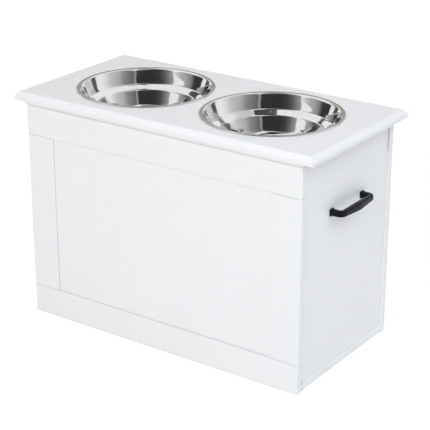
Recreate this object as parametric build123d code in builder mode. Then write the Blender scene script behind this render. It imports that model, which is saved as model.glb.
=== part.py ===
from build123d import *
import os
from math import atan, cos, degrees, hypot, pi, radians, sin, sqrt

os.makedirs("parts", exist_ok=True)

# Elevated feeder: a storage cabinet with a hinged lid that carries two lift-out bowls.
# Sizes are in millimetres. X runs along the long side, the front faces -Y and Z is up.
# The origin lies on the floor, under the middle of the lid.

# ---------------------------------------------------------------- driving dimensions

# Lid: one board with a moulded edge, sized by the bowls and the margins around them.
# A skirt under it meets the cabinet through a cove.
lid_end_margin = 50
lid_face_margin = 30
lid_side_overhang = 22
lid_face_overhang = 6
lid_skirt_overhang = 1
lid_skirt_height = 5.5
lid_cove_radius = 4.5
lid_cove_quirk = 0.1
lid_nosing_height = 6.5
lid_bevel_height = 8
lid_bevel_run = 7
lid_bevel_easing = 1
lid_gap = 1.5

# Cabinet: two framed faces, two plain sides and a floor
cabinet_height = 388.5
frame_thickness = 12
rail_height = 52
stile_width = 55
board_easing = 1
panel_thickness = 6
panel_recess = 3
panel_tongue = 8
panel_end_play = 1
panel_side_play = 0.1
side_thickness = 12
side_recess = 3
side_back_relief = 1.6
bottom_thickness = 12
bottom_lift = 2
bottom_end_recess = 1
bottom_end_bevel = 1.8

# Bowls: stepped basins that hang by a rolled rim
bowl_rim_radius = 120
bowl_gap = 20
bowl_rim_rise = 2
bowl_rim_width = 6
bowl_wall = 1
bowl_ledge_radius = 101
bowl_ledge_depth = 26
bowl_ledge_width = 11
bowl_ledge_drop = 8
bowl_floor_radius = 77
bowl_depth = 66
bowl_floor_corner = 14
bowl_ledge_corner = 5
bowl_rim_corner = 2
bowl_lip_corner = 1.2
bowl_hole_play = 1

# Handles: cast bows, one on each side panel
handle_spacing = 96
handle_drop = 102.5
handle_reach = 27
handle_foot_size = 12.4
handle_foot_thickness = 1.2
handle_foot_flare = 2.5
handle_post_size = 10.6
handle_elbow_width = 10.2
handle_elbow_depth = 9
handle_grip_width = 13
handle_grip_depth = 10
handle_elbow_radius = 8
handle_bow = 2.5
handle_edge_radius = 2.6
handle_stations = 24

# Hinges: butt hinges with one leaf on the back rail and one under the lid
hinge_end_distance = 88
hinge_length = 50
hinge_leaf_thickness = 1
hinge_lid_leaf_reach = 22
hinge_cabinet_leaf_reach = 26
hinge_knuckle_radius = 2.7
hinge_knuckle_play = 0.3
hinge_pin_radius = 1.25
hinge_pin_play = 0.05
hinge_pin_chamfer = 0.3
hinge_screw_spacing = 32

# Lid stays: both pins lie at the same distance from the hinge axis, so that a stay turns
# by half the lid's angle and its rod stays in line with its tube
stay_tube_side_gap = 1
stay_pin_circle_radius = 90
stay_lid_pin_drop = 10.5
stay_side_pin_angle = 75
stay_tube_radius = 5
stay_tube_bore_radius = 3.4
stay_tube_closed_end = 5
stay_tube_mouth_gap = 8
stay_rod_radius = 3
stay_rod_end_gap = 0.8
stay_eye_radius = 5
stay_eye_thickness = 4
stay_pin_radius = 2
stay_pin_play = 0.08
stay_pin_head_radius = 3.2
stay_pin_head_height = 1.2
stay_plate_thickness = 1.5
stay_plate_length = 28
stay_boss_radius = 3.4
stay_play = 0.3
stay_screw_spacing = 18

# Fasteners and joinery
screw_play = 0.1
handle_screw_radius = 2
handle_screw_head_radius = 3.8
handle_screw_head_height = 2.4
handle_screw_grip = 11
small_screw_radius = 1.5
small_screw_head_radius = 2.9
small_screw_head_height = 1.7
small_screw_length = 10
recess_width = 0.9
recess_share = 0.7
pan_head_rounding = 1
cam_radius = 6
cam_height = 9.5
cam_setback = 24
cam_bolt_radius = 2.6
cam_bolt_head_radius = 2.9
cam_bolt_head_height = 2.2
cam_bolt_neck_radius = 1.8
cam_bolt_neck_length = 3
cam_bolt_grip = 8
cam_slot_depth = 1
cam_play = 0.2
cam_end_distance = 18
cam_bottom_end_distance = 98
dowel_radius = 3
dowel_length = 24
dowel_frame_depth = 8
dowel_end_play = 0.5
dowel_play = 0.05
dowel_chamfer = 0.8
dowel_end_distance = 85
dowel_bottom_end_distance = 188
dowel_stile_spacing = 20
bumper_radius = 4
bumper_end_distance = 48
side_bumper_offset = 49

# ---------------------------------------------------------------- derived places

bowl_spacing = 2 * bowl_rim_radius + bowl_gap
lid_width = bowl_spacing + 2 * (bowl_rim_radius + lid_end_margin)
lid_depth = 2 * (bowl_rim_radius + lid_face_margin)
lid_underside = cabinet_height + lid_gap
lid_nosing_bottom = lid_underside + lid_skirt_height
lid_nosing_top = lid_nosing_bottom + lid_nosing_height
lid_top = lid_nosing_top + lid_bevel_height
rim_top = lid_top + bowl_rim_rise

cabinet_width = lid_width - 2 * lid_side_overhang
cabinet_depth = lid_depth - 2 * lid_face_overhang
back_face = cabinet_depth / 2
frame_middle = back_face - frame_thickness / 2
frame_inner_face = back_face - frame_thickness
panel_middle = back_face - panel_recess - panel_thickness / 2
top_rail_bottom = cabinet_height - rail_height
opening_width = cabinet_width - 2 * stile_width
opening_height = top_rail_bottom - rail_height
groove_depth = panel_tongue + panel_end_play
groove_width = panel_thickness + 2 * panel_side_play

cam_levels = (rail_height + cam_end_distance, top_rail_bottom - cam_end_distance)
dowel_levels = (rail_height + dowel_end_distance, top_rail_bottom - dowel_end_distance)

side_outer_face = cabinet_width / 2 - side_recess
side_inner_face = side_outer_face - side_thickness
side_middle = side_outer_face - side_thickness / 2
bottom_middle = bottom_lift + bottom_thickness / 2
bottom_top = bottom_lift + bottom_thickness
bottom_cam_x = cabinet_width / 2 - cam_bottom_end_distance
bottom_dowel_x = cabinet_width / 2 - dowel_bottom_end_distance
handle_height = cabinet_height - handle_drop

bowl_mouth_radius = bowl_rim_radius - bowl_rim_width
lid_hole_radius = bowl_mouth_radius + bowl_wall + bowl_hole_play

hinge_axis_y = back_face + hinge_knuckle_radius + hinge_knuckle_play
hinge_axis_z = lid_underside - hinge_knuckle_radius - hinge_knuckle_play
front_bumper_x = cabinet_width / 2 - bumper_end_distance
hinge_x = cabinet_width / 2 - hinge_end_distance

stay_x = side_inner_face - stay_plate_thickness - stay_tube_side_gap - stay_tube_radius
stay_lid_pin_z = lid_underside - stay_lid_pin_drop
stay_lid_pin_y = hinge_axis_y - sqrt(stay_pin_circle_radius**2 - (hinge_axis_z - stay_lid_pin_z) ** 2)
stay_side_pin_y = hinge_axis_y - stay_pin_circle_radius * cos(radians(stay_side_pin_angle))
stay_side_pin_z = hinge_axis_z - stay_pin_circle_radius * sin(radians(stay_side_pin_angle))
stay_closed_length = hypot(stay_side_pin_y - stay_lid_pin_y, stay_side_pin_z - stay_lid_pin_z)
stay_bore_start = stay_eye_radius + stay_tube_closed_end
stay_tube_length = stay_closed_length - stay_eye_radius - stay_tube_mouth_gap
stay_rod_length = stay_closed_length - stay_bore_start - stay_rod_end_gap


def write(part, name):
    """Label a finished piece and write it to its own file."""
    part.label = name
    export_step(part, f"parts/{name}.step")


def write_pair(right_part, name):
    """Write a right-hand piece and its mirror image for the left side."""
    write(right_part, f"right_{name}")
    write(mirror(right_part, about=Plane.YZ), f"left_{name}")


def both_sides(planes):
    """The given planes, and their mirror images on the left side."""
    mirrored = []
    for plane in planes:
        origin = Vector(-plane.origin.X, plane.origin.Y, plane.origin.Z)
        x_dir = Vector(-plane.x_dir.X, plane.x_dir.Y, plane.x_dir.Z)
        z_dir = Vector(-plane.z_dir.X, plane.z_dir.Y, plane.z_dir.Z)
        mirrored.append(Plane(origin=origin, x_dir=x_dir, z_dir=z_dir))
    return [*planes, *mirrored]


# ---------------------------------------------------------------- fasteners, each along its own Z

def screw_body(radius, head_radius, head_height, length, countersunk, play=0):
    """A screw that points down, with its seat at the origin, or its pocket if play is given.

    A countersunk head lies below the origin, and a pan head stands above it.
    """
    with BuildPart() as screw:
        with BuildSketch(Plane.XY):
            Circle(radius + play)
        extrude(amount=-(length + play))
        if countersunk:
            with BuildSketch(Plane.XY):
                Circle(head_radius + play)
            with BuildSketch(Plane.XY.offset(-head_height)):
                Circle(radius + play)
            loft()
        elif play == 0:
            with BuildSketch(Plane.XY):
                Circle(head_radius)
            extrude(amount=head_height)
            fillet(screw.edges().group_by(Axis.Z)[-1], min(pan_head_rounding, head_height / 2))
        if play == 0:
            top = 0 if countersunk else head_height
            arm = 2 * head_radius * recess_share
            with BuildSketch(Plane.XY.offset(top)):
                Rectangle(arm, recess_width)
                Rectangle(recess_width, arm)
            extrude(amount=-head_height * recess_share, mode=Mode.SUBTRACT)
    return screw.part


def small_screw(play=0):
    """The countersunk screw of the hinges and of the stays' side plates."""
    return screw_body(
        small_screw_radius, small_screw_head_radius, small_screw_head_height, small_screw_length, True, play
    )


def stay_screw(play=0):
    """The pan-head screw of the stays' lid plates."""
    return screw_body(
        small_screw_radius, small_screw_head_radius, small_screw_head_height, small_screw_length, False, play
    )


def placed(shape, planes):
    """Copies of a shape, one on each plane, as one group of separate solids."""
    with BuildPart() as group:
        with Locations(*planes):
            add(shape)
    return group.part


with BuildPart() as cam_bolt:
    with BuildSketch(Plane.XY):
        Circle(cam_bolt_radius)
    extrude(amount=-cam_bolt_grip)
    with BuildSketch(Plane.XY):
        Circle(cam_bolt_radius)
    extrude(amount=cam_setback - cam_bolt_neck_length)
    with BuildSketch(Plane.XY.offset(cam_setback - cam_bolt_neck_length)):
        Circle(cam_bolt_neck_radius)
    extrude(amount=cam_bolt_neck_length)
    with BuildSketch(Plane.XY.offset(cam_setback)):
        Circle(cam_bolt_head_radius)
    extrude(amount=cam_bolt_head_height)

with BuildPart() as cam_bolt_pocket:
    with BuildSketch(Plane.XY.offset(-cam_bolt_grip - cam_play)):
        Circle(cam_bolt_radius + screw_play)
    extrude(amount=cam_bolt_grip + cam_play)
    with BuildSketch(Plane.XY):
        Circle(cam_bolt_head_radius + cam_play)
    extrude(amount=cam_setback + cam_bolt_head_height + cam_play)


def cam_nut_body(board_thickness):
    """A cam disc whose outer face is flush with the board's surface, which the +X side faces."""
    face = Plane(origin=(board_thickness / 2, 0, cam_setback), x_dir=(0, 1, 0), z_dir=(1, 0, 0))
    with BuildPart() as nut:
        with BuildSketch(face):
            Circle(cam_radius)
        extrude(amount=-cam_height)
        with BuildSketch(face):
            Rectangle(2 * cam_radius * recess_share, recess_width)
            Rectangle(recess_width, 2 * cam_radius * recess_share)
        extrude(amount=-cam_slot_depth, mode=Mode.SUBTRACT)
        add(cam_bolt_pocket.part, mode=Mode.SUBTRACT)
    return nut.part


def cam_pocket(board_thickness):
    """The room that a cam disc and its bolt take in a board."""
    face = Plane(origin=(board_thickness / 2, 0, cam_setback), x_dir=(0, 1, 0), z_dir=(1, 0, 0))
    with BuildPart() as pocket:
        with BuildSketch(face):
            Circle(cam_radius + cam_play)
        extrude(amount=-(cam_height + cam_play))
        add(cam_bolt_pocket.part)
    return pocket.part


with BuildPart() as dowel:
    with BuildSketch(Plane.XY.offset(-dowel_frame_depth)):
        Circle(dowel_radius)
    extrude(amount=dowel_length)
    chamfer(dowel.edges().filter_by(GeomType.CIRCLE), dowel_chamfer)

with BuildPart() as dowel_pocket:
    with BuildSketch(Plane.XY.offset(-dowel_frame_depth - dowel_end_play)):
        Circle(dowel_radius + dowel_play)
    extrude(amount=dowel_length + 2 * dowel_end_play)

# Planes of the joints. The origin lies on the frame's inner face in the middle of the board that
# joins it, Z runs into that board and X points to the face that its cam disc is turned from.
side_cam_planes = []
side_dowel_planes = []
bottom_cam_planes = []
bottom_dowel_planes = []
for face_sign in (-1, 1):
    seam_y = face_sign * frame_inner_face
    inward = (0, -face_sign, 0)
    for level in cam_levels:
        side_cam_planes.append(Plane(origin=(side_middle, seam_y, level), x_dir=(-1, 0, 0), z_dir=inward))
    for level in dowel_levels:
        side_dowel_planes.append(Plane(origin=(side_middle, seam_y, level), x_dir=(-1, 0, 0), z_dir=inward))
    bottom_cam_planes.append(
        Plane(origin=(bottom_cam_x, seam_y, bottom_middle), x_dir=(0, 0, -1), z_dir=inward)
    )
    bottom_dowel_planes.append(
        Plane(origin=(bottom_dowel_x, seam_y, bottom_middle), x_dir=(0, 0, -1), z_dir=inward)
    )
all_side_cam_planes = both_sides(side_cam_planes)
all_side_dowel_planes = both_sides(side_dowel_planes)
all_bottom_cam_planes = both_sides(bottom_cam_planes)
all_bottom_dowel_planes = both_sides(bottom_dowel_planes)

# Planes of the dowels that run up and down between rails and stiles, with Z into the stile
stile_middle = cabinet_width / 2 - stile_width / 2
rail_dowel_planes = []
for face_sign in (-1, 1):
    for dowel_x in (stile_middle - dowel_stile_spacing / 2, stile_middle + dowel_stile_spacing / 2):
        seam_point = (dowel_x, face_sign * frame_middle)
        rail_dowel_planes.append(Plane(origin=(*seam_point, rail_height), x_dir=(1, 0, 0), z_dir=(0, 0, 1)))
        rail_dowel_planes.append(
            Plane(origin=(*seam_point, top_rail_bottom), x_dir=(1, 0, 0), z_dir=(0, 0, -1))
        )
all_rail_dowel_planes = both_sides(rail_dowel_planes)

# Planes of the screws, with Z out of the head
cabinet_screw_z = hinge_axis_z - hinge_knuckle_radius - hinge_cabinet_leaf_reach / 2
lid_screw_y = hinge_axis_y - hinge_knuckle_radius - hinge_lid_leaf_reach / 2
hinge_cabinet_screw_planes = []
hinge_lid_screw_planes = []
for screw_x in (hinge_x - hinge_screw_spacing / 2, hinge_x + hinge_screw_spacing / 2):
    cabinet_seat = (screw_x, back_face + hinge_leaf_thickness, cabinet_screw_z)
    lid_seat = (screw_x, lid_screw_y, lid_underside - hinge_leaf_thickness)
    hinge_cabinet_screw_planes.append(Plane(origin=cabinet_seat, x_dir=(1, 0, 0), z_dir=(0, 1, 0)))
    hinge_lid_screw_planes.append(Plane(origin=lid_seat, x_dir=(1, 0, 0), z_dir=(0, 0, -1)))

stay_side_screw_x = side_inner_face - stay_plate_thickness
stay_lid_screw_x = stay_x - stay_eye_thickness
stay_lid_screw_z = lid_underside - stay_plate_thickness
stay_side_screw_planes = []
stay_lid_screw_planes = []
for along in (-stay_screw_spacing / 2, stay_screw_spacing / 2):
    side_seat = (stay_side_screw_x, stay_side_pin_y, stay_side_pin_z + along)
    lid_seat = (stay_lid_screw_x, stay_lid_pin_y + along, stay_lid_screw_z)
    stay_side_screw_planes.append(Plane(origin=side_seat, x_dir=(0, 1, 0), z_dir=(-1, 0, 0)))
    stay_lid_screw_planes.append(Plane(origin=lid_seat, x_dir=(1, 0, 0), z_dir=(0, 0, -1)))

handle_screw_planes = []
for handle_y in (-handle_spacing / 2, handle_spacing / 2):
    handle_screw_planes.append(
        Plane(origin=(side_inner_face, handle_y, handle_height), x_dir=(0, 1, 0), z_dir=(-1, 0, 0))
    )


# ---------------------------------------------------------------- framed faces

def frame_plane(face_sign, middle):
    """The upright plane through the middle of a frame's board, with Z as its second axis."""
    return Plane.XZ.offset(-face_sign * middle)


def rail(face_sign, z_bottom, groove_at_top):
    """A full-width rail with a stopped groove for the panel and its dowel and screw holes."""
    groove_z = z_bottom + rail_height - groove_depth / 2 if groove_at_top else z_bottom + groove_depth / 2
    with BuildPart() as board:
        with BuildSketch(frame_plane(face_sign, frame_middle)):
            with Locations((0, z_bottom + rail_height / 2)):
                Rectangle(cabinet_width, rail_height)
        extrude(amount=frame_thickness / 2, both=True)
        chamfer(board.edges(), board_easing)
        with BuildSketch(frame_plane(face_sign, panel_middle)):
            with Locations((0, groove_z)):
                Rectangle(opening_width + 2 * groove_depth, groove_depth)
        extrude(amount=groove_width / 2, both=True, mode=Mode.SUBTRACT)
        with Locations(*all_rail_dowel_planes):
            add(dowel_pocket.part, mode=Mode.SUBTRACT)
        if groove_at_top:
            with Locations(*all_bottom_cam_planes):
                add(cam_bolt_pocket.part, mode=Mode.SUBTRACT)
            with Locations(*all_bottom_dowel_planes):
                add(dowel_pocket.part, mode=Mode.SUBTRACT)
        elif face_sign > 0:
            with Locations(*both_sides(hinge_cabinet_screw_planes)):
                add(small_screw(screw_play), mode=Mode.SUBTRACT)
    return board.part


def right_stile(face_sign):
    """A right-hand upright between the rails, grooved for the panel."""
    with BuildPart() as board:
        with BuildSketch(frame_plane(face_sign, frame_middle)):
            with Locations((stile_middle, rail_height + opening_height / 2)):
                Rectangle(stile_width, opening_height)
        extrude(amount=frame_thickness / 2, both=True)
        chamfer(board.edges(), board_easing)
        with BuildSketch(frame_plane(face_sign, panel_middle)):
            with Locations((opening_width / 2 + groove_depth / 2, rail_height + opening_height / 2)):
                Rectangle(groove_depth, opening_height)
        extrude(amount=groove_width / 2, both=True, mode=Mode.SUBTRACT)
        with Locations(*rail_dowel_planes, *side_dowel_planes):
            add(dowel_pocket.part, mode=Mode.SUBTRACT)
        with Locations(*side_cam_planes):
            add(cam_bolt_pocket.part, mode=Mode.SUBTRACT)
    return board.part


def panel(face_sign):
    """The flat panel, whose edges sit in the frame's grooves."""
    with BuildPart() as board:
        with BuildSketch(frame_plane(face_sign, panel_middle)):
            with Locations((0, rail_height + opening_height / 2)):
                Rectangle(opening_width + 2 * panel_tongue, opening_height + 2 * panel_tongue)
        extrude(amount=panel_thickness / 2, both=True)
    return board.part


for face_name, face_sign in (("front", -1), ("back", 1)):
    write(rail(face_sign, 0, True), f"{face_name}_bottom_rail")
    write(rail(face_sign, top_rail_bottom, False), f"{face_name}_top_rail")
    write(panel(face_sign), f"{face_name}_panel")
    stile = right_stile(face_sign)
    write(stile, f"{face_name}_right_stile")
    write(mirror(stile, about=Plane.YZ), f"{face_name}_left_stile")

# ---------------------------------------------------------------- sides and floor

side_depth = 2 * frame_inner_face
side_height = cabinet_height - bottom_top

with BuildPart() as side_panel:
    with BuildSketch(Plane.YZ.offset(side_inner_face)):
        with Locations((0, bottom_top + side_height / 2)):
            Rectangle(side_depth, side_height)
    extrude(amount=side_thickness)
    chamfer(side_panel.edges(), board_easing / 2)
    # relief of the back edge beside the top rail, which leaves a narrow open slit
    with BuildSketch(Plane.YZ.offset(side_inner_face)):
        with Locations((frame_inner_face, top_rail_bottom)):
            Rectangle(side_back_relief, cabinet_height - top_rail_bottom, align=(Align.MAX, Align.MIN))
    extrude(amount=side_thickness, mode=Mode.SUBTRACT)
    with Locations(*side_cam_planes):
        add(cam_pocket(side_thickness), mode=Mode.SUBTRACT)
    with Locations(*side_dowel_planes):
        add(dowel_pocket.part, mode=Mode.SUBTRACT)
    with Locations(*handle_screw_planes):
        Hole(handle_screw_radius + screw_play)
    with Locations(*stay_side_screw_planes):
        add(small_screw(screw_play), mode=Mode.SUBTRACT)
write_pair(side_panel.part, "side_panel")

with BuildPart() as bottom_board:
    with BuildSketch(Plane.XY.offset(bottom_lift)):
        Rectangle(cabinet_width - 2 * bottom_end_recess, side_depth)
    extrude(amount=bottom_thickness)
    end_edges = bottom_board.edges().filter_by(Axis.Y).group_by(Axis.Z)
    chamfer(end_edges[-1], bottom_end_bevel)
    chamfer(end_edges[0], board_easing / 2)
    with Locations(*all_bottom_cam_planes):
        add(cam_pocket(bottom_thickness), mode=Mode.SUBTRACT)
    with Locations(*all_bottom_dowel_planes):
        add(dowel_pocket.part, mode=Mode.SUBTRACT)
write(bottom_board.part, "bottom_board")

write(placed(cam_bolt.part, all_side_cam_planes + all_bottom_cam_planes), "cam_bolts")
write(placed(cam_nut_body(side_thickness), all_side_cam_planes), "side_cam_nuts")
write(placed(cam_nut_body(bottom_thickness), all_bottom_cam_planes), "bottom_cam_nuts")
write(placed(dowel.part, all_side_dowel_planes + all_bottom_dowel_planes), "board_dowels")
write(placed(dowel.part, all_rail_dowel_planes), "rail_dowels")

# ---------------------------------------------------------------- handles

handle_face = side_outer_face
grip_axis_x = handle_face + handle_reach - handle_grip_depth / 2
elbow_axis_x = grip_axis_x - handle_bow

# the bow starts in the middle of its foot plates
bow_start_x = handle_face + handle_foot_thickness / 2

with BuildLine(Plane.XY.offset(handle_height)) as handle_path:
    FilletPolyline(
        (bow_start_x, -handle_spacing / 2),
        (elbow_axis_x, -handle_spacing / 2),
        (grip_axis_x, 0),
        (elbow_axis_x, handle_spacing / 2),
        (bow_start_x, handle_spacing / 2),
        radius=[handle_elbow_radius, handle_spacing, handle_elbow_radius],
    )

handle_wire = handle_path.wires()[0]
foot_flare_angle = degrees(atan((handle_foot_size - handle_post_size) / 2 / handle_foot_flare))
post_length = elbow_axis_x - bow_start_x


def handle_section(share):
    """Width along Z and depth across the bow, at a share of its length.

    A post narrows evenly from its foot to the elbow, and the grip swells as a squared sine.
    """
    from_end = min(share, 1 - share) * handle_wire.length
    if from_end < post_length:
        along_post = from_end / post_length
        width = handle_post_size + (handle_elbow_width - handle_post_size) * along_post
        depth = handle_post_size + (handle_elbow_depth - handle_post_size) * along_post
        return width, depth
    swell = sin(pi / 2 * (from_end - post_length) / (handle_wire.length / 2 - post_length)) ** 2
    width = handle_elbow_width + (handle_grip_width - handle_elbow_width) * swell
    depth = handle_elbow_depth + (handle_grip_depth - handle_elbow_depth) * swell
    return width, depth


with BuildPart() as handle:
    for station in range(handle_stations + 1):
        share = station / handle_stations
        station_plane = Plane(
            origin=handle_wire.position_at(share), x_dir=(0, 0, 1), z_dir=handle_wire.tangent_at(share)
        )
        with BuildSketch(station_plane):
            RectangleRounded(*handle_section(share), handle_edge_radius)
    loft()
    for handle_y in (-handle_spacing / 2, handle_spacing / 2):
        with BuildSketch(Plane.YZ.offset(handle_face)):
            with Locations((handle_y, handle_height)):
                RectangleRounded(handle_foot_size, handle_foot_size, handle_edge_radius / 2)
        extrude(amount=handle_foot_thickness)
        with BuildSketch(Plane.YZ.offset(handle_face + handle_foot_thickness)):
            with Locations((handle_y, handle_height)):
                RectangleRounded(handle_foot_size, handle_foot_size, handle_edge_radius / 2)
        extrude(amount=handle_foot_flare, taper=foot_flare_angle)
    with Locations(*handle_screw_planes):
        add(
            screw_body(
                handle_screw_radius,
                handle_screw_head_radius,
                handle_screw_head_height,
                side_thickness + handle_screw_grip,
                False,
                screw_play,
            ),
            mode=Mode.SUBTRACT,
        )
write_pair(handle.part, "handle")

handle_screw = screw_body(
    handle_screw_radius,
    handle_screw_head_radius,
    handle_screw_head_height,
    side_thickness + handle_screw_grip,
    False,
)
write(placed(handle_screw, both_sides(handle_screw_planes)), "handle_screws")

# ---------------------------------------------------------------- lid

lid_skirt_width = cabinet_width + 2 * lid_skirt_overhang
lid_skirt_depth = cabinet_depth + 2 * lid_skirt_overhang

with BuildPart() as lid_board:
    with BuildSketch(Plane.XY.offset(lid_nosing_bottom)):
        Rectangle(lid_width, lid_depth)
    extrude(amount=lid_nosing_height)
    with BuildSketch(Plane.XY.offset(lid_nosing_top)):
        Rectangle(lid_width, lid_depth)
    extrude(amount=lid_bevel_height, taper=degrees(atan(lid_bevel_run / lid_bevel_height)))
    fillet(lid_board.edges().group_by(Axis.Z)[-1], lid_bevel_easing)
    with BuildSketch(Plane.XY.offset(lid_underside)):
        Rectangle(lid_skirt_width, lid_skirt_depth)
    extrude(amount=lid_skirt_height)
    skirt_edges = (
        lid_board.edges()
        .filter_by_position(Axis.Z, lid_nosing_bottom, lid_nosing_bottom)
        .filter_by_position(Axis.X, -lid_skirt_width / 2, lid_skirt_width / 2)
        .filter_by_position(Axis.Y, -lid_skirt_depth / 2, lid_skirt_depth / 2)
    )
    fillet(skirt_edges, min(lid_cove_radius, lid_face_overhang - lid_skirt_overhang - lid_cove_quirk))
    with BuildSketch(Plane.XY.offset(lid_underside)):
        with GridLocations(bowl_spacing, 0, 2, 1):
            Circle(lid_hole_radius)
    extrude(amount=lid_top - lid_underside, mode=Mode.SUBTRACT)
    with Locations(*both_sides(hinge_lid_screw_planes)):
        add(small_screw(screw_play), mode=Mode.SUBTRACT)
    with Locations(*both_sides(stay_lid_screw_planes)):
        add(stay_screw(screw_play), mode=Mode.SUBTRACT)
write(lid_board.part, "lid_board")

with BuildPart() as lid_bumpers:
    with BuildSketch(Plane.XY.offset(cabinet_height)):
        with Locations((-front_bumper_x, -frame_middle), (front_bumper_x, -frame_middle)):
            Circle(bumper_radius)
        with Locations((-side_middle, -side_bumper_offset), (side_middle, -side_bumper_offset)):
            Circle(bumper_radius)
    extrude(amount=lid_gap)
write(lid_bumpers.part, "lid_bumpers")

# ---------------------------------------------------------------- bowls

bowl_x = bowl_spacing / 2

with BuildPart() as bowl:
    with BuildSketch(Plane.XZ.move(Location((bowl_x, 0, 0)))):
        with BuildLine():
            FilletPolyline(
                (0, rim_top - bowl_depth),
                (bowl_floor_radius, rim_top - bowl_depth),
                (bowl_ledge_radius - bowl_ledge_width, rim_top - bowl_ledge_depth - bowl_ledge_drop),
                (bowl_ledge_radius, rim_top - bowl_ledge_depth),
                (bowl_mouth_radius, rim_top),
                (bowl_rim_radius, rim_top),
                (bowl_rim_radius, rim_top - bowl_rim_rise),
                radius=[
                    bowl_floor_corner,
                    bowl_ledge_corner,
                    bowl_ledge_corner,
                    bowl_rim_corner,
                    bowl_lip_corner,
                ],
            )
            offset(amount=bowl_wall, side=Side.RIGHT)
        make_face()
    revolve(axis=Axis((bowl_x, 0, 0), (0, 0, 1)))
write_pair(bowl.part, "bowl")

# ---------------------------------------------------------------- hinges

knuckle_length = hinge_length / 3
knuckle_width = knuckle_length - hinge_knuckle_play
knuckle_clearance = hinge_knuckle_radius + hinge_knuckle_play


def with_knuckles(leaf_plate, knuckle_xs):
    """Join knuckles to a leaf at the given middles, then bore them for the pin."""
    with BuildPart() as leaf:
        add(leaf_plate)
        for knuckle_x in knuckle_xs:
            with BuildSketch(Plane.YZ.offset(knuckle_x)):
                with Locations((hinge_axis_y, hinge_axis_z)):
                    Circle(hinge_knuckle_radius)
            extrude(amount=knuckle_width / 2, both=True)
        with BuildSketch(Plane.YZ.offset(hinge_x)):
            with Locations((hinge_axis_y, hinge_axis_z)):
                Circle(hinge_pin_radius + hinge_pin_play)
        extrude(amount=hinge_length, both=True, mode=Mode.SUBTRACT)
    return leaf.part


with BuildPart() as lid_leaf_plate:
    with BuildSketch(Plane.XY.offset(lid_underside - hinge_leaf_thickness)):
        with Locations((hinge_x, hinge_axis_y - knuckle_clearance)):
            Rectangle(hinge_length, hinge_lid_leaf_reach, align=(Align.CENTER, Align.MAX))
        with Locations((hinge_x, hinge_axis_y)):
            Rectangle(knuckle_width, knuckle_clearance, align=(Align.CENTER, Align.MAX))
    extrude(amount=hinge_leaf_thickness)
    with Locations(*hinge_lid_screw_planes):
        add(small_screw(screw_play), mode=Mode.SUBTRACT)
write_pair(with_knuckles(lid_leaf_plate.part, [hinge_x]), "hinge_lid_leaf")

outer_knuckles = [hinge_x - knuckle_length, hinge_x + knuckle_length]
with BuildPart() as cabinet_leaf_plate:
    with BuildSketch(Plane.XZ.offset(-back_face - hinge_leaf_thickness)):
        with Locations((hinge_x, hinge_axis_z - knuckle_clearance)):
            Rectangle(hinge_length, hinge_cabinet_leaf_reach, align=(Align.CENTER, Align.MAX))
        with Locations(*[(knuckle_x, hinge_axis_z) for knuckle_x in outer_knuckles]):
            Rectangle(knuckle_width, knuckle_clearance, align=(Align.CENTER, Align.MAX))
    extrude(amount=hinge_leaf_thickness)
    with Locations(*hinge_cabinet_screw_planes):
        add(small_screw(screw_play), mode=Mode.SUBTRACT)
write_pair(with_knuckles(cabinet_leaf_plate.part, outer_knuckles), "hinge_cabinet_leaf")

with BuildPart() as hinge_pin:
    with BuildSketch(Plane.YZ.offset(hinge_x)):
        with Locations((hinge_axis_y, hinge_axis_z)):
            Circle(hinge_pin_radius)
    extrude(amount=hinge_length / 2, both=True)
    chamfer(hinge_pin.edges().filter_by(GeomType.CIRCLE), hinge_pin_chamfer)
write_pair(hinge_pin.part, "hinge_pin")

write(placed(small_screw(), both_sides(hinge_cabinet_screw_planes)), "hinge_cabinet_screws")
write(placed(small_screw(), both_sides(hinge_lid_screw_planes)), "hinge_lid_screws")

# ---------------------------------------------------------------- lid stays

# Plane of a stay: origin on the pin in the stay's middle, local X along the stay
stay_side_pin = Vector(stay_x, stay_side_pin_y, stay_side_pin_z)
stay_lid_pin = Vector(stay_x, stay_lid_pin_y, stay_lid_pin_z)
stay_direction = (stay_lid_pin - stay_side_pin).normalized()
across_x = Vector(1, 0, 0)
tube_plane = Plane(origin=stay_side_pin, x_dir=stay_direction, z_dir=across_x)
rod_plane = Plane(origin=stay_lid_pin, x_dir=stay_direction * -1, z_dir=across_x)
bore_plane = Plane(origin=stay_side_pin, x_dir=across_x, z_dir=stay_direction)


def stay_link(plane, radius, length):
    """A round bar that starts in a flat eye around its pin."""
    end_plane = Plane(origin=plane.origin, x_dir=across_x, z_dir=plane.x_dir)
    neck_start = stay_pin_radius + stay_pin_play + stay_play
    with BuildPart() as link:
        with BuildSketch(end_plane.offset(neck_start)):
            Circle(radius)
        extrude(amount=length - neck_start)
        # flats beside the pin leave only the eye's thickness
        for flat_sign in (-1, 1):
            with BuildSketch(plane.offset(flat_sign * stay_eye_thickness / 2)):
                Rectangle(2 * (stay_eye_radius + stay_play), 2 * (radius + stay_play))
            extrude(amount=flat_sign * radius, mode=Mode.SUBTRACT)
        with BuildSketch(plane):
            Circle(stay_eye_radius)
        extrude(amount=stay_eye_thickness / 2, both=True)
        with BuildSketch(plane):
            Circle(stay_pin_radius + stay_pin_play)
        extrude(amount=stay_eye_thickness, both=True, mode=Mode.SUBTRACT)
    return link.part


with BuildPart() as stay_tube:
    add(stay_link(tube_plane, stay_tube_radius, stay_tube_length))
    with BuildSketch(bore_plane.offset(stay_bore_start)):
        Circle(stay_tube_bore_radius)
    extrude(amount=stay_tube_length, mode=Mode.SUBTRACT)
write_pair(stay_tube.part, "stay_tube")

with BuildPart() as stay_rod:
    add(stay_link(rod_plane, stay_rod_radius, stay_rod_length))
write_pair(stay_rod.part, "stay_rod")


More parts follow.
